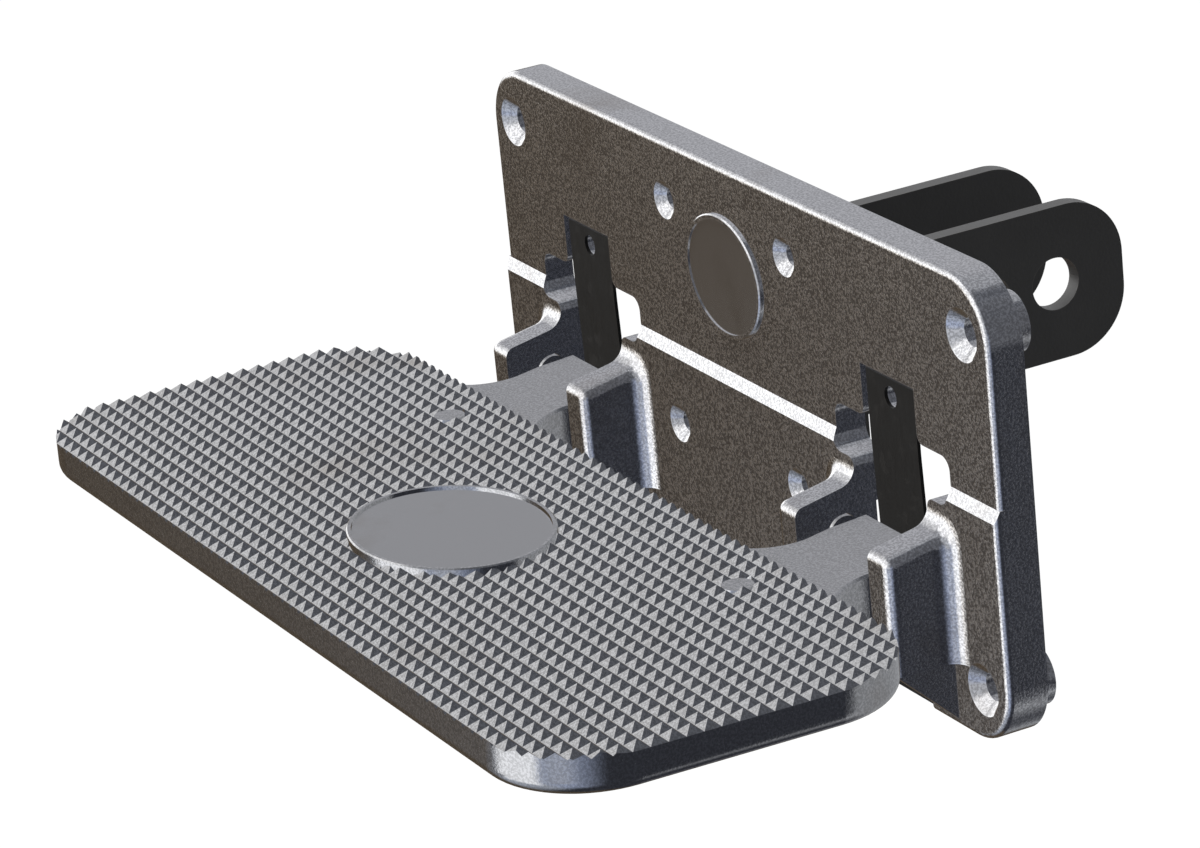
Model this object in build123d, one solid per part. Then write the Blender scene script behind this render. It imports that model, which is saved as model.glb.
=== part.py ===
from build123d import *
import math
import os

# Hitch receiver step: a cast plate that stands across the back of a vehicle, a cast step pad
# that folds up against it, two leaf springs that hold the pad's heels, and a welded steel
# bracket whose two bars slide into a 2 inch receiver tube.
# Millimetres. The origin is on the axis of the main hitch pin, midway between the bars.
# X runs across the vehicle, +Y goes into the receiver, +Z is up, so the step faces -Y.

# hitch bars and their bracket
receiver = 50.8  # outside width and height that fill the receiver tube
bar_t = 5.5
bar_corner_r = 20.0
bar_end_y = 25.4
pin_hole_r = 8.6
second_hole_y = -25.4
base_size = 100.0
base_t = 6.0
base_corner_r = 6.0
base_holes = 75.0  # square pattern of the four bracket screws
weld_leg = 5.0
weld_crown = 0.58  # share of the leg at which the bead's face stands, a little full

# back plate
plate_w = 308.0
plate_top = 57.8
plate_bottom = -88.2
plate_corner_r = 20.0
plate_t = 12.0
front_y = -103.3  # upper front face
back_y = front_y + plate_t
step_out = 1.7  # the lower face stands this far in front of the upper one
band_top = -10.8
band_bottom = -14.9
front_edge_r = 2.0
web_back_y = front_y + 6.0
frame_back_y = front_y + 10.2
rim = 5.0
rib_t = 4.0
seat_margin = 2.0  # of the flat around the bracket base
smallest_hollow = 60.0
hollow_corner = 2.0
corner_hole_x = 139.8
corner_hole_zs = (39.8, -71.25)
corner_hole_r = 4.5
corner_sink_r = 8.3
boss_r = 9.5
boss_back_y = front_y + 17.7
bracket_hole_r = 3.3
bracket_sink_r = 6.3

# windows of the back plate, one for each arm of the pad
window_x = 94.4
slot_hw = 15.25  # half widths, measured from the window's centre line
wide_hw = 32.75
leg_hw = 21.1
slot_top = 14.8
wide_top = -2.2
wide_bottom = -17.2
wide_corner_r = 4.2
step_corner_r = 3.0
leg_bottom = -48.0
heel_bottom = -57.8
tail_seat_top = -74.0
slot_floor_y = front_y + 2.0
heel_floor_y = front_y + 2.9
frame_hw = 38.0
frame_top = 21.0

# ears that carry the trunnions
ear_out = 32.6
ear_front_y = front_y - 23.4
ear_top = -24.7  # the top slopes down from the plate to the nose
ear_nose_top = -28.6
ear_edge_r = 3.3
ear_foot_r = 6.3
ear_bottom = -66.0
gusset_out = 30.2
gusset_bottom = -85.6

# step pad, drawn level about its pivot and then tipped up by pad_tilt
pivot_y = -110.3
pivot_z = -39.5
pad_tilt = 1.1
pad_w = 362.8
pad_rear = -32.3
pad_front = -161.7
pad_corner_r = 32.0
pad_bottom = -10.9
tread_base = 0.84
pad_edge_r = 4.5
arm_root = 14.0  # how far the arm runs on under the deck
arm_bottom = -14.66
arm_heel_top = 3.82  # the arm's top runs down from its heel to the deck
arm_hw = 20.8
arm_straight_dy = -4.0
neck_hw = 18.8
neck_dy = -15.5
flare_r = 19.0
heel_dy = 8.3
heel_sweep_r = 8.35  # the heel's upper corner is rounded about the pivot to pass the spring
arm_edge = 0.8
arm_wall = 4.5
arm_roof = -5.0  # top of the hollow under the arm's root
arm_hollow_end = -11.5
trunnion_r = 5.3
trunnion_out = 29.9
seat_r = 5.4
seat_lead = 2.4  # how far the seat's upper wall rises towards the back
pocket_out = 30.2

# pyramid tread
pitch = 5.669
pyramid_h = 2.4
columns = 64
rows = 24
row_start = -166.12  # front edge of the first row, measured from the pivot
tread_root = 2.0  # how far the pyramids' outline runs on into the deck
spot_r = 5.0
spot_dy = -49.0
spot_h = 1.1

# ribbed underside of the pad
rim_inset = 9.0
cavity_corner_r = 23.0
skin = 4.5
cell_columns = 8
cell_rows = 3
cell_rib = 3.0
cell_corner = 3.0

# plain oval plaques
plaque_rim = 1.5
plaque_edge = 0.4
plate_plaque = (23.0, 20.0)  # half width and half height
plate_plaque_h = 1.8
plate_field = 0.7  # depth of the bare field below the rim
plate_plaque_z = 21.8
pad_plaque = (38.0, 31.0)
pad_plaque_h = 2.9
pad_plaque_root = 1.5
pad_field = 1.3
pad_plaque_dy = -96.0

# leaf springs
spring_w = 27.2
spring_t = 1.1
spring_top = 13.6
spring_bow = 0.7
spring_bend_r = 120.0
spring_bend_zs = (-8.0, -38.0, -54.0, -72.0)  # flat, out to the bow, along it, and flat again
spring_hole_r = 3.45
spring_hole_z = 7.8

through = 40.0  # longer than anything that a drill or a cut goes through
clear = 1.0  # how far a cut runs on past the face that it opens


# a front view outline (x, z) made solid between two depths
def front_prism(sketch, y_front, y_back):
    return extrude(Plane.XZ.offset(-y_back) * sketch, amount=y_back - y_front)


# a side view outline (y, z) made solid between two places across the vehicle
def side_prism(sketch, x_from, x_to):
    return extrude(Plane.YZ.offset(x_from) * sketch, amount=x_to - x_from)


def box_outline(x0, x1, z0, z1):
    return Pos((x0 + x1) / 2, (z0 + z1) / 2) * Rectangle(x1 - x0, z1 - z0)


# keeps the hollows that are wide enough to cast, with the corners of the square ones cut off
def castable(sketch):
    kept = Sketch()
    for face in sketch.faces():
        if face.area > smallest_hollow:
            hollow = Sketch() + [face]
            square = len(hollow.edges()) == 4
            kept += chamfer(hollow.vertices(), hollow_corner) if square else hollow
    return kept


# countersunk screw hole bored back from a front face
def countersunk(x, z, face_y, hole_r, sink_r):
    depth = sink_r - hole_r
    cone = Cone(sink_r, hole_r, depth, align=(Align.CENTER, Align.CENTER, Align.MIN))
    bore = Cylinder(hole_r, through, align=(Align.CENTER, Align.CENTER, Align.MIN))
    lip = Cylinder(sink_r, clear, align=(Align.CENTER, Align.CENTER, Align.MAX))
    return Pos(x, face_y, z) * Rot(-90, 0, 0) * (cone + bore + lip)


# oval boss with a raised rim around a bare field, growing along +Z from the origin
def plaque(half_sizes, height, field_depth):
    a, b = half_sizes
    body = extrude(Ellipse(a, b), amount=height)
    body = chamfer(body.edges().group_by(Axis.Z)[-1], plaque_edge)
    field = extrude(Ellipse(a - plaque_rim, b - plaque_rim), amount=field_depth)
    return body - Pos(0, 0, height - field_depth) * field


# outline of the cut for one arm, without the spring's tail below it
def window_outline():
    outline = box_outline(-slot_hw, slot_hw, wide_top - 1, slot_top)
    outline += box_outline(-wide_hw, wide_hw, wide_bottom, wide_top)
    outline += box_outline(-leg_hw, leg_hw, leg_bottom, wide_bottom + 1)
    corners = outline.vertices()
    outline = fillet(corners.filter_by(lambda v: abs(abs(v.X) - wide_hw) < 0.1), wide_corner_r)
    corners = outline.vertices()
    steps = corners.filter_by(
        lambda v: (abs(abs(v.X) - slot_hw) < 0.1 and abs(v.Y - wide_top) < 0.1)
        or (abs(abs(v.X) - leg_hw) < 0.1 and abs(v.Y - wide_bottom) < 0.1)
    )
    return fillet(steps, step_corner_r)


# everything that one window takes out of the plate
def window_cut():
    outline = window_outline()
    below_slot = box_outline(-60, 60, -100, wide_top + 1)
    cut = front_prism(outline, front_y - 3, slot_floor_y)
    cut += front_prism(outline & below_slot, front_y - 3, back_y + 1)
    heel = box_outline(-leg_hw, leg_hw, heel_bottom, leg_bottom + 1)
    cut += front_prism(heel, front_y - 3, heel_floor_y)
    bow_room = box_outline(-slot_hw, slot_hw, tail_seat_top, heel_bottom + 1)
    cut += front_prism(bow_room, front_y - 3, heel_floor_y)
    tail = box_outline(-slot_hw, slot_hw, plate_bottom - 1, tail_seat_top + 1)
    cut += front_prism(tail, front_y - 3, slot_floor_y)
    screw = Pos(0, back_y, spring_hole_z) * Rot(90, 0, 0) * Cylinder(spring_hole_r, through)
    return cut + screw


# the seats for one arm's two trunnions, open to the back so that the pad can be slid in
def trunnion_seats():
    top = pivot_z + seat_r
    low = pivot_z - seat_r
    back = back_y + 1
    outline = make_face(
        Polyline((pivot_y, top), (back, top + seat_lead), (back, low - seat_lead / 3), (pivot_y, low))
        + ThreePointArc((pivot_y, low), (pivot_y - seat_r, pivot_z), (pivot_y, top))
    )
    return side_prism(outline, -pocket_out, pocket_out)


# an ear on the +X side of its window, rounded all over and blended into the plate's lower face
def ear():
    low_face = front_y - step_out
    root = web_back_y - 2
    inner = leg_hw - ear_edge_r
    outline = make_face(
        Polyline(
            (root, ear_bottom),
            (root, ear_top),
            (low_face, ear_top),
            (ear_front_y, ear_nose_top),
            (ear_front_y, ear_bottom),
            close=True,
        )
    )
    block = side_prism(outline, inner, ear_out)
    corners = block.edges().filter_by(
        lambda e: (e.center().X > ear_out - 0.1 or abs(e.center().Y - ear_front_y) < 0.1)
        and e.center().X > inner + 0.1
        and ear_bottom + 1 < e.center().Z
        and e.center().Y < low_face - 1
    )
    block = fillet(corners, ear_edge_r)
    footing = box_outline(low_face, root, ear_bottom, band_bottom)
    block += side_prism(footing, inner, ear_out + 2 * ear_foot_r)
    foot = block.edges().filter_by(
        lambda e: abs(e.bounding_box().min.Y - low_face) < 0.01
        and e.bounding_box().size.Y < 0.01
        and inner + 0.1 < e.center().X < ear_out + 1
        and ear_bottom + 0.1 < e.center().Z < ear_top + 1
    )
    block = fillet(foot, ear_foot_r)
    block -= side_prism(box_outline(ear_front_y - 1, root + 1, ear_bottom - 1, 0), 0, leg_hw)
    gusset = make_face(
        Polyline(
            (root, ear_bottom + 1),
            (ear_front_y + 1, ear_bottom + 1),
            (ear_front_y + 1, ear_bottom),
            (low_face, gusset_bottom),
            (root, gusset_bottom),
            close=True,
        )
    )
    return block + side_prism(gusset, leg_hw, gusset_out)


# hollows behind the plate, leaving the rim, the bracket seat, window frames, ribs and bosses
def back_hollows():
    mid = (plate_top + plate_bottom) / 2
    seat_hw = base_size / 2 + seat_margin
    inner = Pos(0, mid) * RectangleRounded(
        plate_w - 2 * rim, plate_top - plate_bottom - 2 * rim, plate_corner_r - rim
    )
    seat = box_outline(-seat_hw, seat_hw, -seat_hw, plate_top)
    low = inner - seat
    for z in corner_hole_zs:
        low -= Pos(-corner_hole_x, z) * Circle(boss_r)
        low -= Pos(corner_hole_x, z) * Circle(boss_r)
    frame = box_outline(seat_hw, window_x + frame_hw, plate_bottom, frame_top)
    deep = low - frame - mirror(frame, about=Plane.YZ)
    for z in corner_hole_zs:
        deep -= Pos(0, z) * Rectangle(plate_w, rib_t)
    for x in (-window_x, window_x):
        deep -= Pos(x, plate_top / 2) * Rectangle(rib_t, plate_top)
    for x in (-seat_hw / 2, seat_hw / 2):
        deep -= Pos(x, -seat_hw) * Rectangle(rib_t, -plate_bottom)
    deep = castable(deep)
    return front_prism(low, frame_back_y, back_y + 1) + front_prism(deep, web_back_y, back_y + 1)


def build_back_plate():
    mid = (plate_top + plate_bottom) / 2
    outline = Pos(0, mid) * RectangleRounded(plate_w, plate_top - plate_bottom, plate_corner_r)
    low_face = front_y - step_out
    body = front_prism(outline, front_y, back_y)
    body = fillet(body.edges().group_by(Axis.Y)[0], front_edge_r)
    lower = front_prism(outline, low_face, back_y)
    lower = fillet(lower.edges().group_by(Axis.Y)[0], front_edge_r)
    band_run = (band_top - band_bottom) / step_out
    below_band = make_face(
        Polyline(
            (back_y, plate_bottom - 1),
            (back_y, band_top),
            (front_y, band_top),
            (low_face - 1, band_bottom - band_run),
            (low_face - 1, plate_bottom - 1),
            close=True,
        )
    )
    body += lower & side_prism(below_band, -plate_w / 2 - 1, plate_w / 2 + 1)
    body -= back_hollows()
    for x in (-corner_hole_x, corner_hole_x):
        for z in corner_hole_zs:
            body += front_prism(Pos(x, z) * Circle(boss_r), web_back_y - 1, boss_back_y)
    one_ear = ear()
    for x in (-window_x, window_x):
        body += Pos(x, 0, 0) * one_ear
        body += Pos(x, 0, 0) * mirror(one_ear, about=Plane.YZ)
    oval = plaque(plate_plaque, plate_plaque_h, plate_field)
    body += Pos(0, front_y, plate_plaque_z) * Rot(90, 0, 0) * oval
    for x in (-window_x, window_x):
        body -= Pos(x, 0, 0) * window_cut()
        body -= Pos(x, 0, 0) * trunnion_seats()
    for x in (-corner_hole_x, corner_hole_x):
        body -= countersunk(x, corner_hole_zs[0], front_y, corner_hole_r, corner_sink_r)
        body -= countersunk(x, corner_hole_zs[1], low_face, corner_hole_r, corner_sink_r)
    half = base_holes / 2
    for x in (-half, half):
        body -= countersunk(x, half, front_y, bracket_hole_r, bracket_sink_r)
        body -= countersunk(x, -half, low_face, bracket_hole_r, bracket_sink_r)
    return body


# ridges of triangular section side by side, as a flat outline with the ridges on top
def ridge_outline(start, count, depth):
    line = [(start + i * pitch / 2, pyramid_h * (i % 2)) for i in range(2 * count + 1)]
    end = start + count * pitch
    return make_face(Polyline([(start, -depth)] + line + [(end, -depth)], close=True))


# plan outline of the pad's deck
def deck_outline(inset, corner_r):
    middle = (pad_front + pad_rear) / 2
    depth = pad_rear - pad_front
    return Pos(0, middle) * RectangleRounded(pad_w - 2 * inset, depth - 2 * inset, corner_r)


# square pyramids where ridges that run along the deck cross ridges that run across it
def tread():
    half = columns / 2 * pitch
    row_end = row_start + rows * pitch
    along = front_prism(ridge_outline(-half, columns, tread_root), row_start, row_end)
    across = side_prism(ridge_outline(row_start, rows, tread_root), -half, half)
    field = Pos(0, 0, tread_base) * (along & across)
    deck = Pos(0, 0, tread_base - tread_root) * deck_outline(0, pad_corner_r)
    return field & extrude(deck, amount=tread_root + pyramid_h)


# plan outline of one arm, from its flat heel past the neck to the flare at the deck
def arm_outline():
    turn = math.asin((neck_dy - pad_rear) / flare_r)
    centre = neck_hw + flare_r
    mid = (centre - flare_r * math.cos(turn / 2), neck_dy - flare_r * math.sin(turn / 2))
    end = (centre - flare_r * math.cos(turn), pad_rear)
    root = pad_rear - arm_root
    half = (
        Polyline((0, heel_dy), (arm_hw, heel_dy), (arm_hw, arm_straight_dy), (neck_hw, neck_dy))
        + ThreePointArc((neck_hw, neck_dy), mid, end)
        + Polyline(end, (end[0], root), (0, root), (0, heel_dy))
    )
    face = make_face(half)
    return face + mirror(face, about=Plane.YZ)


# side view of one arm, level at the deck and rising to its rounded heel
def arm_side():
    root = pad_rear - arm_root
    low = math.sqrt(heel_sweep_r**2 - heel_dy**2)  # where the heel's rounding meets its flat back
    high = math.sqrt(heel_sweep_r**2 - arm_heel_top**2)
    turn = (math.atan2(low, heel_dy) + math.atan2(arm_heel_top, high)) / 2
    mid = (heel_sweep_r * math.cos(turn), heel_sweep_r * math.sin(turn))
    under = Polyline(
        (root, tread_base),
        (root, pad_bottom + clear),
        (neck_dy, arm_bottom),
        (heel_dy, arm_bottom),
        (heel_dy, low),
    )
    outline = (
        under
        + ThreePointArc((heel_dy, low), mid, (high, arm_heel_top))
        + Polyline((high, arm_heel_top), (pad_rear, tread_base), (root, tread_base))
    )
    return make_face(outline)


# one arm with its two trunnions, centred on X = 0
def arm():
    body = extrude(Pos(0, 0, arm_bottom) * arm_outline(), amount=arm_heel_top - arm_bottom)
    body = body & side_prism(arm_side(), -frame_hw, frame_hw)
    top_sides = body.edges().filter_by(
        lambda e: e.center().Z > tread_base + 0.1 and abs(e.center().X) > neck_hw - 1
    )
    top_sides = top_sides.filter_by(lambda e: pad_rear < e.center().Y < heel_dy - 1)
    body = chamfer(top_sides, arm_edge)
    reach = box_outline(-frame_hw, frame_hw, pad_rear, arm_hollow_end)
    hollow = offset(arm_outline(), -arm_wall) & reach
    body -= extrude(Pos(0, 0, arm_bottom) * hollow, amount=arm_roof - arm_bottom)
    stub = trunnion_out - arm_hw + clear
    for way in (-1, 1):
        middle = way * (trunnion_out - stub / 2)
        body += Pos(middle, 0, 0) * Rot(0, 90, 0) * Cylinder(trunnion_r, stub)
    return body


# square hollows under the deck, with ribs between them
def deck_hollows():
    inner = deck_outline(rim_inset, cavity_corner_r)
    width = pad_w - 2 * rim_inset
    length = pad_rear - pad_front - 2 * rim_inset
    middle = (pad_front + pad_rear) / 2
    cell_w = width / cell_columns
    cell_d = length / cell_rows
    cells = Sketch()
    for i in range(cell_columns):
        for j in range(cell_rows):
            x = (i + 0.5) * cell_w - width / 2
            y = middle + (j + 0.5) * cell_d - length / 2
            cell = Rectangle(cell_w - cell_rib, cell_d - cell_rib)
            cells += Pos(x, y) * chamfer(cell.vertices(), cell_corner)
    return extrude(Pos(0, 0, pad_bottom) * (cells & inner), amount=tread_base - skin - pad_bottom)


def build_step_pad():
    outline = Pos(0, 0, pad_bottom) * deck_outline(0, pad_corner_r)
    deck = extrude(outline, amount=tread_base - pad_bottom)
    deck = fillet(deck.edges().group_by(Axis.Z)[0], pad_edge_r)
    one_arm = arm()
    deck += [Pos(x, 0, 0) * one_arm for x in (-window_x, window_x)]
    deck -= deck_hollows()
    body = deck + tread()
    room = extrude(Ellipse(*pad_plaque), amount=tread_root + pyramid_h)
    body -= Pos(0, pad_plaque_dy, tread_base - clear) * room
    oval = plaque(pad_plaque, pad_plaque_h + pad_plaque_root, pad_field)
    body += Pos(0, pad_plaque_dy, tread_base - pad_plaque_root) * oval
    for x in (-window_x, window_x):
        face = Pos(x, spot_dy, tread_base + spot_h) * Circle(spot_r)
        body -= extrude(face, amount=pyramid_h)
        body += extrude(face, amount=-tread_root)
    return Pos(0, pivot_y, pivot_z) * Rot(-pad_tilt, 0, 0) * body


# flat strip pushed back a little where the pad's heel presses on it
def build_leaf_spring(side):
    seat = slot_floor_y - spring_t
    depths = (seat, seat + spring_bow, seat + spring_bow, seat)
    bends = list(zip(depths, spring_bend_zs))
    front = FilletPolyline((seat, spring_top), *bends, (seat, plate_bottom), radius=spring_bend_r)
    back = Pos(spring_t, 0) * front
    ends = Line((seat, spring_top), (seat + spring_t, spring_top))
    ends += Line((seat, plate_bottom), (seat + spring_t, plate_bottom))
    strip = side_prism(make_face(front + back + ends), -spring_w / 2, spring_w / 2)
    hole = Pos(0, seat, spring_hole_z) * Rot(90, 0, 0) * Cylinder(spring_hole_r, through)
    return Pos(side * window_x, 0, 0) * (strip - hole)


def build_bracket_base():
    outline = RectangleRounded(base_size, base_size, base_corner_r)
    half = base_holes / 2
    for x in (-half, half):
        for z in (-half, half):
            outline -= Pos(x, z) * Circle(bracket_hole_r)
    return front_prism(outline, back_y, back_y + base_t)


# flat bar with rounded free corners, a hitch pin hole and a second hole nearer the plate
def build_hitch_bar(side):
    root = back_y + base_t
    half = receiver / 2
    outline = Pos((root + bar_end_y) / 2, 0) * Rectangle(bar_end_y - root, receiver)
    free = outline.vertices().filter_by(lambda v: v.X > 0)
    outline = fillet(free, bar_corner_r)
    outline -= Circle(pin_hole_r)
    outline -= Pos(second_hole_y, 0) * Circle(pin_hole_r)
    inner = half - bar_t
    bar = side_prism(outline, inner, half)
    if side < 0:
        bar = mirror(bar, about=Plane.YZ)
    return bar


# fillet welds along both faces of both bars where they stand on the base
def build_bracket_welds():
    root = back_y + base_t
    half = receiver / 2
    beads = []
    for face_x, way in ((half, 1), (half - bar_t, -1), (-half, -1), (bar_t - half, 1)):
        toe = face_x + way * weld_leg
        crown = (face_x + way * weld_leg * weld_crown, root + weld_leg * weld_crown)
        section = make_face(
            Polyline((toe, root), (face_x, root), (face_x, root + weld_leg))
            + ThreePointArc((face_x, root + weld_leg), crown, (toe, root))
        )
        beads.append(extrude(Pos(0, 0, -half + 1) * section, amount=receiver - 2))
    return Compound(children=beads)


sub_parts = {
    "back_plate": build_back_plate(),
    "step_pad": build_step_pad(),
    "leaf_spring_left": build_leaf_spring(-1),
    "leaf_spring_right": build_leaf_spring(1),
    "bracket_base": build_bracket_base(),
    "hitch_bar_left": build_hitch_bar(-1),
    "hitch_bar_right": build_hitch_bar(1),
    "bracket_welds": build_bracket_welds(),
}

os.makedirs("parts", exist_ok=True)
for name, shape in sub_parts.items():
    export_step(shape, f"parts/{name}.step")
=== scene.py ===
import math

import bpy
from mathutils import Matrix, Vector

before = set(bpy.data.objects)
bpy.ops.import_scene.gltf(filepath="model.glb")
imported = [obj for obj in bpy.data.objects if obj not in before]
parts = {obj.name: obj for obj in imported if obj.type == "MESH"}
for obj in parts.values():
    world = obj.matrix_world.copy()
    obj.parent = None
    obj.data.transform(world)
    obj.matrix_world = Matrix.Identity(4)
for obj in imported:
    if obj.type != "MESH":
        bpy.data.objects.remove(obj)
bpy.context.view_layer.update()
scene = bpy.context.scene
print("frame loaded:", len(parts), "cad nodes")


# small node helpers, so that each finish below reads top to bottom
def newFinish(name):
    mat = bpy.data.materials.new(name)
    mat.use_nodes = True
    tree = mat.node_tree
    tree.nodes.clear()
    out = tree.nodes.new("ShaderNodeOutputMaterial")
    out.location = (900, 0)
    shader = tree.nodes.new("ShaderNodeBsdfPrincipled")
    shader.location = (560, 0)
    tree.links.new(shader.outputs[0], out.inputs[0])
    return mat, tree, shader


def addNode(tree, kind, place, settings=None, **sockets):
    made = tree.nodes.new(kind)
    made.location = place
    for key, value in (settings or {}).items():
        setattr(made, key, value)
    for key, value in sockets.items():
        made.inputs[key.replace("_", " ")].default_value = value
    return made


def coordsOf(tree, kind="Object", place=(-1500, 0)):
    return addNode(tree, "ShaderNodeTexCoord", place).outputs[kind]


def noise(tree, coords, place, scale, detail, roughness, distortion=0.0):
    made = addNode(
        tree,
        "ShaderNodeTexNoise",
        place,
        Scale=scale,
        Detail=detail,
        Roughness=roughness,
        Distortion=distortion,
    )
    tree.links.new(coords, made.inputs["Vector"])
    return made.outputs["Fac"]


def remap(tree, value, place, fromMin, fromMax, toMin, toMax):
    made = addNode(
        tree,
        "ShaderNodeMapRange",
        place,
        From_Min=fromMin,
        From_Max=fromMax,
        To_Min=toMin,
        To_Max=toMax,
    )
    tree.links.new(value, made.inputs["Value"])
    return made.outputs["Result"]


def scaled(tree, coords, place, scale, shift=(0, 0, 0)):
    made = addNode(tree, "ShaderNodeMapping", place)
    made.inputs["Scale"].default_value = scale
    made.inputs["Location"].default_value = shift
    tree.links.new(coords, made.inputs["Vector"])
    return made.outputs[0]


def mixColours(tree, factor, place, first, second):
    made = addNode(tree, "ShaderNodeMix", place, {"data_type": "RGBA"})
    for socket, value in ((made.inputs[6], first), (made.inputs[7], second)):
        if isinstance(value, tuple):
            socket.default_value = (*value, 1)
        else:
            tree.links.new(value, socket)
    tree.links.new(factor, made.inputs[0])
    return made.outputs[2]


def calculate(tree, place, operation, first, second):
    made = addNode(tree, "ShaderNodeMath", place, {"operation": operation})
    for socket, value in ((made.inputs[0], first), (made.inputs[1], second)):
        if isinstance(value, (int, float)):
            socket.default_value = value
        else:
            tree.links.new(value, socket)
    return made.outputs[0]


def addBump(tree, height, place, strength, distance, normal=None):
    made = addNode(tree, "ShaderNodeBump", place, Strength=strength, Distance=distance)
    tree.links.new(height, made.inputs["Height"])
    if normal:
        tree.links.new(normal, made.inputs["Normal"])
    return made.outputs["Normal"]


# how well a bevelled normal agrees with the true one: 1 on a face, less along an edge
def edgeAgreement(tree, width):
    bevel = addNode(tree, "ShaderNodeBevel", (-1250, 520), {"samples": 4}, Radius=width)
    geometry = addNode(tree, "ShaderNodeNewGeometry", (-1250, 700))
    dot = addNode(tree, "ShaderNodeVectorMath", (-1000, 600), {"operation": "DOT_PRODUCT"})
    tree.links.new(bevel.outputs[0], dot.inputs[0])
    tree.links.new(geometry.outputs["Normal"], dot.inputs[1])
    return dot.outputs["Value"]


noiseSpan = (0.3, 0.7)  # nearly all of a noise's values lie between these

# the plate's cast aluminium: blasted faces with a warm grain, painted light on its tops and painted
# shade in its pits, smoother sides painted lighter as painted light on the tops and sides, edges
# rubbed bright
plateLook = {
    # the next two colours are the grain's painted highlight on its tops and painted shade in its pits
    "metal": (0.76, 0.73, 0.69),
    "speckPitShade": (0.28, 0.26, 0.24),
    # the sides' colours are lighter than the front's: painted light on the tops and sides, with the
    # grain's painted highlight and shade
    "litSideHighlight": (0.88, 0.88, 0.90),
    "litSideShade": (0.40, 0.40, 0.41),
    "sideShare": 0.6,  # how much of the grain the sides keep
    "stainColour": (0.31, 0.27, 0.23),
    "stainFrom": (0.55, 0.78),  # the blotches' height, from clean to fully stained
    "stainShare": 0.55,
    "stainRough": 0.02,
    "rubbed": (0.72, 0.72, 0.73),
    "edgeWidth": 0.0007,
    "edgeWear": (0.995, 0.93),  # how well the normals agree, from unworn to fully rubbed
    "edgeGrain": 0.1,
    "grain": (1300, 4.0, 0.6),  # scale, detail and roughness, as in the other noises
    "grainDepth": 0.00011,
    "grainStrength": 0.75,
    "specks": (0.445, 0.575),  # the grain's height, from its pits to its tops
    "speckMiddle": 0.5,
    "fine": (2100, 2.0, 0.5),
    "fineDepth": 0.00001,
    "wave": (42, 2.0, 0.5),
    "waveDepth": 0.0002,
    "waveStrength": 0.35,
    "blotch": (17, 5.0, 0.62, 0.4),  # the last one is its distortion
    # this facing also gives the sides their painted lighter colour
    "blastedAndSideLitFrom": (0.93, 0.99),  # how squarely a face has to look forwards or back
    "rough": (0.07, 0.13),
    "metallic": 0.92,
    "plaqueScale": (1 / 0.0215, 0, 1 / 0.0185),  # one over the field's half width and half height
    "plaqueShift": (0, 0, -0.0218 / 0.0185),
    "plaqueEdge": (0.98, 1.0),
    "fieldMetal": (0.52, 0.505, 0.485),
    "fieldGrain": 0.08,
}


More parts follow.
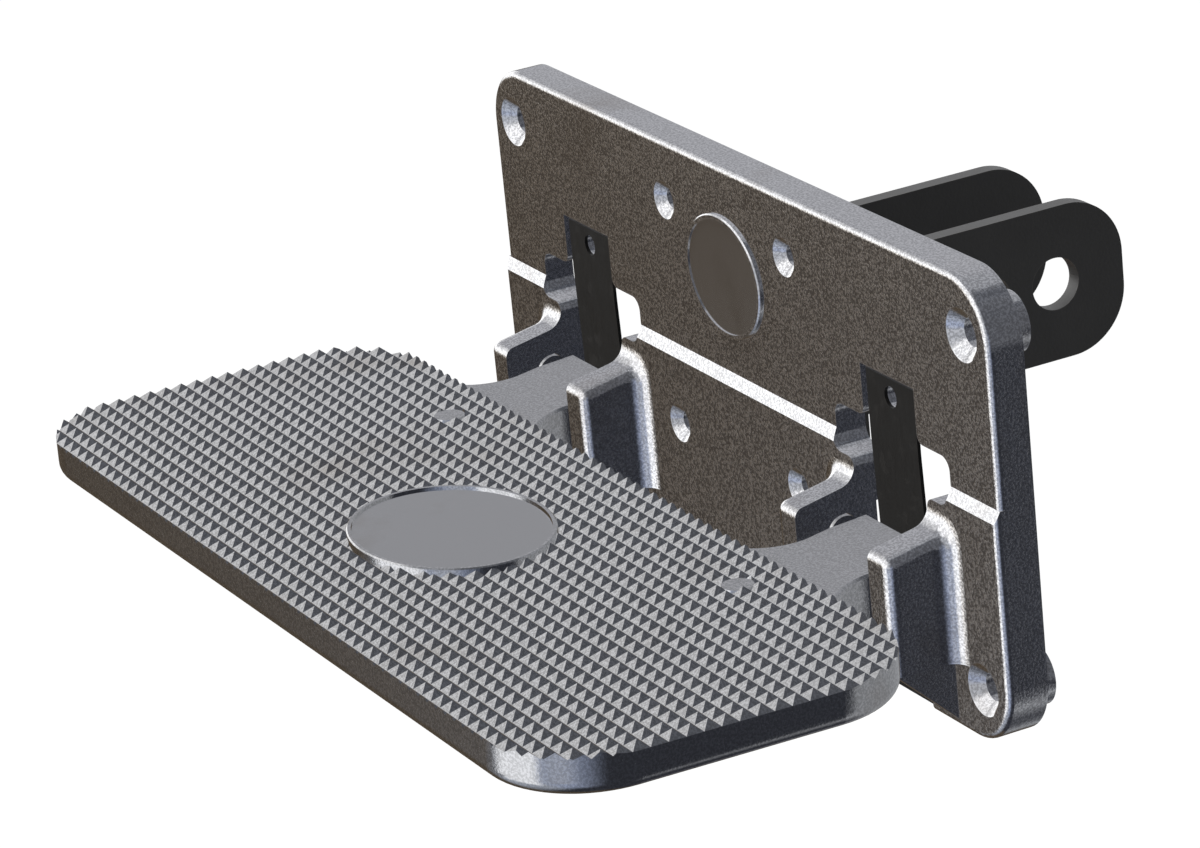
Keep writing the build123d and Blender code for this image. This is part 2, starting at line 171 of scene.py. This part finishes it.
def castAluminium(name, look):
    mat, tree, shader = newFinish(name)
    link = tree.links.new
    coords = coordsOf(tree)
    grain = noise(tree, coords, (-1250, 200), *look["grain"])
    fine = noise(tree, coords, (-1250, 0), *look["fine"])
    wave = noise(tree, coords, (-1250, -200), *look["wave"])
    blotch = noise(tree, coords, (-1250, -400), *look["blotch"])

    # the front and back are blasted, the other faces are smoother and painted lighter, a painted
    # light on the tops and sides
    facing = addNode(tree, "ShaderNodeSeparateXYZ", (-1250, 900))
    link(coordsOf(tree, "Normal", (-1500, 900)), facing.inputs[0])
    frontal = calculate(tree, (-1000, 900), "ABSOLUTE", facing.outputs[1], 0)
    flat = remap(tree, frontal, (-750, 900), *look["blastedAndSideLitFrom"], 0, 1)
    blasted = remap(tree, flat, (-600, 900), 0, 1, look["sideShare"], 1)

    # specks: painted highlight on the grain's tops and painted shade in its pits, standing in for the
    # grain's own light and shade
    speck = remap(tree, grain, (-1000, 300), *look["specks"], 0, 1)
    speck = calculate(tree, (-850, 300), "SUBTRACT", speck, look["speckMiddle"])
    speck = calculate(tree, (-800, 300), "MULTIPLY", speck, blasted)
    speck = calculate(tree, (-750, 300), "ADD", speck, look["speckMiddle"])
    skin = mixColours(tree, speck, (-700, 300), look["speckPitShade"], look["metal"])
    # the sides take the lighter colours, a painted light on the tops and sides
    litSides = mixColours(tree, speck, (-700, 450), look["litSideShade"], look["litSideHighlight"])
    skin = mixColours(tree, flat, (-600, 300), litSides, skin)

    # the plaque's field is bare and smooth
    reach = addNode(tree, "ShaderNodeVectorMath", (-1000, 1150), {"operation": "LENGTH"})
    inField = scaled(tree, coords, (-1250, 1150), look["plaqueScale"], look["plaqueShift"])
    link(inField, reach.inputs[0])
    field = remap(tree, reach.outputs["Value"], (-750, 1150), *look["plaqueEdge"], 1, 0)
    skin = mixColours(tree, field, (-550, 300), skin, look["fieldMetal"])

    # soft stains, then the rubbed edges over all of it
    stains = remap(tree, blotch, (-1000, -400), *look["stainFrom"], 0, look["stainShare"])
    stained = mixColours(tree, stains, (-450, 300), skin, look["stainColour"])
    agreement = edgeAgreement(tree, look["edgeWidth"])
    rubbed = remap(tree, agreement, (-750, 600), *look["edgeWear"], 0, 1)
    worn = mixColours(tree, rubbed, (-200, 300), stained, look["rubbed"])
    link(worn, shader.inputs["Base Color"])

    rough = remap(tree, fine, (-1000, 50), *noiseSpan, *look["rough"])
    dull = remap(tree, stains, (-700, 50), 0, 1, 0, look["stainRough"])
    link(calculate(tree, (-450, 50), "ADD", rough, dull), shader.inputs["Roughness"])

    # bump: a slow swell, the grain where it is kept, and a fine tooth
    swell = addBump(tree, wave, (-200, -500), look["waveStrength"], look["waveDepth"])
    onEdges = remap(tree, rubbed, (-450, -150), 0, 1, look["grainStrength"], look["edgeGrain"])
    onField = remap(tree, field, (-400, -200), 0, 1, 1, look["fieldGrain"])
    kept = calculate(tree, (-300, -150), "MULTIPLY", blasted, onEdges)
    kept = calculate(tree, (-250, -150), "MULTIPLY", kept, onField)
    peel = addBump(tree, grain, (50, -350), 1.0, look["grainDepth"], swell)
    link(kept, peel.node.inputs["Strength"])
    tooth = addBump(tree, fine, (300, -200), look["grainStrength"], look["fineDepth"], peel)
    link(tooth, shader.inputs["Normal"])
    shader.inputs["Metallic"].default_value = look["metallic"]
    return mat


bodyCast = castAluminium("castBodyFinish", plateLook)

# the pad is the same casting metal, greyer, with narrower rubbed edges along its pyramids
padLook = {
    **plateLook,
    # the grain's painted highlight and painted shade, greyer than the plate's
    "metal": (0.6, 0.6, 0.606),
    "speckPitShade": (0.38, 0.378, 0.38),
    # the sides' lighter colours: painted light on the tops and sides
    "litSideHighlight": (0.62, 0.62, 0.63),
    "litSideShade": (0.40, 0.40, 0.403),
    "sideShare": 0.7,
    "rubbed": (0.5, 0.5, 0.51),
    "edgeWidth": 0.0003,
    "grainStrength": 0.45,
    "plaqueScale": (1 / 0.0365, 1 / 0.0295, 0),
    "plaqueShift": (0, 0.2063 / 0.0295, 0),
    "fieldMetal": (0.47, 0.47, 0.475),
}
padCast = castAluminium("castPadFinish", padLook)
print("cast finishes ready")

# leaf springs: satin black over rolled strip, with a little dust and rub lines along the length
springLook = {
    "black": (0.009, 0.0085, 0.0075),
    "dust": (0.055, 0.048, 0.04),
    "dustNoise": (160, 6.0, 0.7),
    "dustFrom": (0.56, 0.8),
    "dustShare": 0.5,
    "rough": (0.36, 0.46),
    "rollScale": (90, 90, 9),  # draws the lines out along the strip
    "lines": (12, 4.0, 0.6),
    "lineStrength": 0.12,
    "lineDepth": 0.0002,
    "specular": 0.2,
}


def springBlack(name, look):
    mat, tree, shader = newFinish(name)
    link = tree.links.new
    coords = coordsOf(tree)
    stretched = scaled(tree, coords, (-1250, -200), look["rollScale"])
    lines = noise(tree, stretched, (-1000, -200), *look["lines"])
    dusty = noise(tree, coords, (-1000, 200), *look["dustNoise"])
    dustMask = remap(tree, dusty, (-700, 200), *look["dustFrom"], 0, look["dustShare"])
    dulled = mixColours(tree, dustMask, (-400, 200), look["black"], look["dust"])
    link(dulled, shader.inputs["Base Color"])
    rough = remap(tree, lines, (-700, 0), *noiseSpan, *look["rough"])
    link(calculate(tree, (-400, 0), "ADD", rough, dustMask), shader.inputs["Roughness"])
    rubLines = addBump(tree, lines, (-100, -200), look["lineStrength"], look["lineDepth"])
    link(rubLines, shader.inputs["Normal"])
    shader.inputs["Specular IOR Level"].default_value = look["specular"]
    return mat


springFinish = springBlack("springFinish", springLook)

# hitch bars and their base: satin black powder coat, rubbed down at the edges
coatLook = {
    "black": (0.088, 0.087, 0.085),
    "scuff": (0.1, 0.097, 0.092),
    "scuffs": (55, 8.0, 0.72, 0.6),
    "scuffFrom": (0.57, 0.72),
    "scuffShare": 0.6,
    "rubbed": (0.2, 0.19, 0.18),
    "rubbedShare": 0.8,
    "edgeWidth": 0.0006,
    "edgeWear": (0.995, 0.9),
    "unevenFrom": (0.4, 0.6),
    "unevenShare": (0.2, 1.0),  # the rubbed edges come and go between these
    "peel": (900, 2.0, 0.5),
    "peelStrength": 0.5,
    "peelDepth": 0.00008,
    "rough": (0.30, 0.46),
    "rippleScale": 0,  # only the welds are rippled
}


def powderCoat(name, look):
    mat, tree, shader = newFinish(name)
    link = tree.links.new
    coords = coordsOf(tree)
    peel = noise(tree, coords, (-1250, -200), *look["peel"])
    scuffs = noise(tree, coords, (-1250, 200), *look["scuffs"])
    scuffMask = remap(tree, scuffs, (-1000, 200), *look["scuffFrom"], 0, look["scuffShare"])
    coat = mixColours(tree, scuffMask, (-700, 200), look["black"], look["scuff"])
    agreement = edgeAgreement(tree, look["edgeWidth"])
    edge = remap(tree, agreement, (-750, 600), *look["edgeWear"], 0, look["rubbedShare"])
    uneven = remap(tree, scuffs, (-750, 400), *look["unevenFrom"], *look["unevenShare"])
    chipped = calculate(tree, (-500, 500), "MULTIPLY", edge, uneven)
    worn = mixColours(tree, chipped, (-300, 200), coat, look["rubbed"])
    link(worn, shader.inputs["Base Color"])
    rough = remap(tree, scuffs, (-700, 0), *noiseSpan, *look["rough"])
    link(rough, shader.inputs["Roughness"])
    surface = addBump(tree, peel, (-400, -200), look["peelStrength"], look["peelDepth"])
    if look["rippleScale"]:
        ripple = addNode(
            tree,
            "ShaderNodeTexWave",
            (-1000, -450),
            {"bands_direction": "Z"},
            Scale=look["rippleScale"],
            Distortion=look["rippleDistortion"],
            Detail=look["rippleDetail"],
        )
        link(coords, ripple.inputs["Vector"])
        height = ripple.outputs["Fac"]
        strength, depth = look["rippleStrength"], look["rippleDepth"]
        surface = addBump(tree, height, (-100, -350), strength, depth, surface)
    link(surface, shader.inputs["Normal"])
    return mat


weldLook = {
    **coatLook,
    "rough": (0.36, 0.46),
    "rippleScale": 95,
    "rippleDistortion": 3.5,
    "rippleDetail": 2.0,
    "rippleStrength": 0.8,
    "rippleDepth": 0.0006,
}
barFinish = powderCoat("barFinish", coatLook)
weldFinish = powderCoat("weldFinish", weldLook)
print("steel finishes ready")

finishes = {
    "back_plate": bodyCast,
    "step_pad": padCast,
    "leaf_spring_left": springFinish,
    "leaf_spring_right": springFinish,
    "bracket_base": barFinish,
    "hitch_bar_left": barFinish,
    "hitch_bar_right": barFinish,
    "bracket_welds": weldFinish,
}
for nodeName, finish in finishes.items():
    parts[nodeName].data.materials.clear()
    parts[nodeName].data.materials.append(finish)
    parts[nodeName].visible_glossy = False  # the pieces don't mirror each other
print("finishes assigned")

# camera: the photograph's viewing angle
viewLook = {
    "place": (1.41364, -0.85411, 0.57401),
    "azimuth": 63.594,
    "elevation": 20.455,
    "roll": -5.805,
    "lens": 163.57,
    "sensor": 36,
    "nearest": 0.05,
    "furthest": 60,
}
camData = bpy.data.cameras.new("stepCamera")
cam = bpy.data.objects.new("stepCamera", camData)
scene.collection.objects.link(cam)
turn = Matrix.Rotation(math.radians(viewLook["azimuth"]), 4, "Z")
tilt = Matrix.Rotation(math.radians(90 - viewLook["elevation"]), 4, "X")
roll = Matrix.Rotation(math.radians(viewLook["roll"]), 4, "Z")
cam.matrix_world = Matrix.Translation(viewLook["place"]) @ turn @ tilt @ roll
camData.sensor_width = viewLook["sensor"]
camData.lens = viewLook["lens"]
camData.clip_start = viewLook["nearest"]
camData.clip_end = viewLook["furthest"]
scene.camera = cam
print("camera placed")

# studio: a pale floor below the step, white all round, and a soft panel above, further down
studioLook = {
    "floorHeight": -0.8,
    "floorSize": 30,
    "floorColour": (0.86, 0.86, 0.87),
    "floorRough": 0.8,
    "floorSpecular": 0.1,
    "floorGlow": 1.12,
    "glowShare": 0.88,  # the rest is the painted floor, which keeps the shadow
    "worldSeen": 1.0,  # plain white for the camera and in mirrors
    "worldFill": 0.17,  # the light that the object gets from it
    "objectCentre": (0, -0.12, -0.03),
    "panelPlace": (-0.7, -0.5, 2.0),
    "panelSize": (1.2, 1.2),
    "panelPower": 50,
}
white = (1, 1, 1, 1)
studioWorld = bpy.data.worlds.new("studioWhite")
scene.world = studioWorld
studioWorld.use_nodes = True
wTree = studioWorld.node_tree
wTree.nodes.clear()
worldOut = addNode(wTree, "ShaderNodeOutputWorld", (900, 0))
whiteSky = addNode(wTree, "ShaderNodeBackground", (300, 150), Color=white)
whiteSky.inputs["Strength"].default_value = studioLook["worldSeen"]
fillSky = addNode(wTree, "ShaderNodeBackground", (300, -100), Color=white)
fillSky.inputs["Strength"].default_value = studioLook["worldFill"]
rays = addNode(wTree, "ShaderNodeLightPath", (-300, 300)).outputs
seen = calculate(wTree, (0, 300), "MAXIMUM", rays["Is Camera Ray"], rays["Is Glossy Ray"])
seenThrough = calculate(wTree, (150, 300), "MAXIMUM", seen, rays["Is Transmission Ray"])
skyMix = addNode(wTree, "ShaderNodeMixShader", (600, 0))
wTree.links.new(seenThrough, skyMix.inputs[0])
wTree.links.new(fillSky.outputs[0], skyMix.inputs[1])
wTree.links.new(whiteSky.outputs[0], skyMix.inputs[2])
wTree.links.new(skyMix.outputs[0], worldOut.inputs[0])

floorPlace = (0, 0, studioLook["floorHeight"])
bpy.ops.mesh.primitive_plane_add(size=studioLook["floorSize"], location=floorPlace)
floor = bpy.context.object
floor.name = "studioFloor"
floorMat, fTree, floorShader = newFinish("floorPaint")
floorShader.inputs["Base Color"].default_value = (*studioLook["floorColour"], 1)
floorShader.inputs["Roughness"].default_value = studioLook["floorRough"]
floorShader.inputs["Specular IOR Level"].default_value = studioLook["floorSpecular"]
floorGlow = addNode(fTree, "ShaderNodeEmission", (300, -400), Color=white)
floorGlow.inputs["Strength"].default_value = studioLook["floorGlow"]
floorRays = addNode(fTree, "ShaderNodeLightPath", (0, 300))
fromCamera = floorRays.outputs["Is Camera Ray"]
share = calculate(fTree, (300, 300), "MULTIPLY", fromCamera, studioLook["glowShare"])
floorMix = addNode(fTree, "ShaderNodeMixShader", (720, 200))
fTree.links.new(share, floorMix.inputs[0])
fTree.links.new(floorShader.outputs[0], floorMix.inputs[1])
fTree.links.new(floorGlow.outputs[0], floorMix.inputs[2])
fTree.links.new(floorMix.outputs[0], fTree.nodes["Material Output"].inputs[0])
floor.data.materials.append(floorMat)
floor.visible_glossy = False  # the tent is mirrored in its place
floor.visible_diffuse = False

# a big soft tent that only the finishes mirror: each patch is a box of colour on it, given by its
# middle and half size in degrees, round from the left (front is 90) and up from level
tentLook = {
    "radius": 7.0,
    "segments": 64,
    "rings": 32,
    "base": (0.40, 0.41, 0.44),
    "glow": 1.0,
    "backFrom": 130,  # patches further round than this are on the side where -180 meets 180
    "patches": [
        {"round": 180, "up": 40, "half": (58, 50), "soft": (14, 8), "colour": (0.13, 0.136, 0.155)},
        {"round": 180, "up": -50, "half": (190, 42), "soft": (5, 5), "colour": (0.034, 0.037, 0.049)},
        {"round": 44, "up": -9, "half": (62, 3), "soft": (3, 2), "colour": (0.9, 0.76, 0.62)},
        {"round": 268, "up": -20, "half": (50, 36), "soft": (4, 8), "colour": (0.40, 0.41, 0.43)},
        {"round": 240, "up": 63, "half": (24, 12), "soft": (8, 5), "colour": (0.10, 0.108, 0.13)},
        {"round": 112, "up": -24, "half": (36, 30), "soft": (20, 10), "colour": (0.48, 0.55, 0.74)},
        {"round": 122, "up": 10, "half": (14, 32), "soft": (8, 8), "colour": (0.62, 0.64, 0.68)},
        {"round": -8, "up": 28, "half": (42, 22), "soft": (6, 6), "colour": (0.45, 0.455, 0.485)},
        {"round": 22, "up": 25, "half": (16, 12), "soft": (7, 5), "colour": (0.88, 0.88, 0.89)},
        {"round": 0, "up": -42, "half": (40, 37), "soft": (5, 3), "colour": (0.10, 0.077, 0.054)},
        {"round": 72, "up": -44, "half": (40, 18), "soft": (12, 12), "colour": (0.52, 0.56, 0.64)},
        {"round": 73, "up": -22, "half": (26, 16), "soft": (4, 4), "colour": (1.4, 1.42, 1.46)},
        {"round": 68, "up": 18, "half": (38, 29), "soft": (5, 5), "colour": (1.45, 1.45, 1.46)},
        {"round": 44, "up": 6, "half": (62, 12.5), "soft": (3, 3), "colour": (1.6, 1.6, 1.6)},
    ],
}


def ridge(tree, place, value, middle, half, soft):
    away = calculate(tree, place, "ABSOLUTE", calculate(tree, place, "SUBTRACT", value, middle), 0)
    return remap(tree, away, place, half + soft, half - soft, 0, 1)


bpy.ops.mesh.primitive_uv_sphere_add(
    segments=tentLook["segments"],
    ring_count=tentLook["rings"],
    radius=tentLook["radius"],
    location=studioLook["objectCentre"],
)
tent = bpy.context.object
tent.name = "mirrorTent"
tentMat, tTree, tentShader = newFinish("tentPaint")
tTree.nodes.remove(tentShader)
tentDirection = addNode(tTree, "ShaderNodeVectorMath", (-1300, 0), {"operation": "NORMALIZE"})
tTree.links.new(coordsOf(tTree), tentDirection.inputs[0])
tentAxes = addNode(tTree, "ShaderNodeSeparateXYZ", (-1100, 0))
tTree.links.new(tentDirection.outputs[0], tentAxes.inputs[0])
toDegrees = 180 / math.pi
acrossWay, alongWay, upWay = tentAxes.outputs

# round from the left as -180 to 180, and again as 0 to 360 for the patches at the right and back
backAcross = calculate(tTree, (-900, 100), "MULTIPLY", acrossWay, -1)
backAlong = calculate(tTree, (-900, 50), "MULTIPLY", alongWay, -1)
leftAngle = calculate(tTree, (-800, 100), "ARCTAN2", backAlong, backAcross)
fromLeft = calculate(tTree, (-700, 100), "MULTIPLY", leftAngle, toDegrees)
rightAngle = calculate(tTree, (-800, 0), "ARCTAN2", alongWay, acrossWay)
rightDegrees = calculate(tTree, (-700, 0), "MULTIPLY", rightAngle, toDegrees)
fromRight = calculate(tTree, (-600, 0), "ADD", rightDegrees, 180)
upAngle = calculate(tTree, (-800, -100), "ARCSINE", upWay, 0)
upward = calculate(tTree, (-700, -100), "MULTIPLY", upAngle, toDegrees)

tentColour = tentLook["base"]
for number, patch in enumerate(tentLook["patches"]):
    place = (-400 + 60 * number, -300 * number)
    around = fromRight if patch["round"] > tentLook["backFrom"] else fromLeft
    side = ridge(tTree, place, around, patch["round"], patch["half"][0], patch["soft"][0])
    level = ridge(tTree, place, upward, patch["up"], patch["half"][1], patch["soft"][1])
    mask = calculate(tTree, place, "MULTIPLY", side, level)
    tentColour = mixColours(tTree, mask, place, tentColour, patch["colour"])
tentGlow = addNode(tTree, "ShaderNodeEmission", (600, 0), Strength=tentLook["glow"])
tTree.links.new(tentColour, tentGlow.inputs["Color"])
tTree.links.new(tentGlow.outputs[0], tTree.nodes["Material Output"].inputs[0])
tentMat.cycles.emission_sampling = "NONE"
tent.data.materials.append(tentMat)
for ray in ("camera", "shadow", "diffuse", "transmission"):
    setattr(tent, "visible_" + ray, False)

# the one soft panel, which lights the tops
panelData = bpy.data.lights.new("skyPanel", "AREA")
panelData.shape = "RECTANGLE"
panelData.size, panelData.size_y = studioLook["panelSize"]
panelData.energy = studioLook["panelPower"]
lamp = bpy.data.objects.new("skyPanel", panelData)
scene.collection.objects.link(lamp)
panelPlace = Vector(studioLook["panelPlace"])
aim = (Vector(studioLook["objectCentre"]) - panelPlace).to_track_quat("-Z", "Y")
lamp.matrix_world = Matrix.Translation(panelPlace) @ aim.to_matrix().to_4x4()
lamp.visible_camera = False
lamp.visible_glossy = False
scene.view_settings.view_transform = "Standard"
print("studio lit")
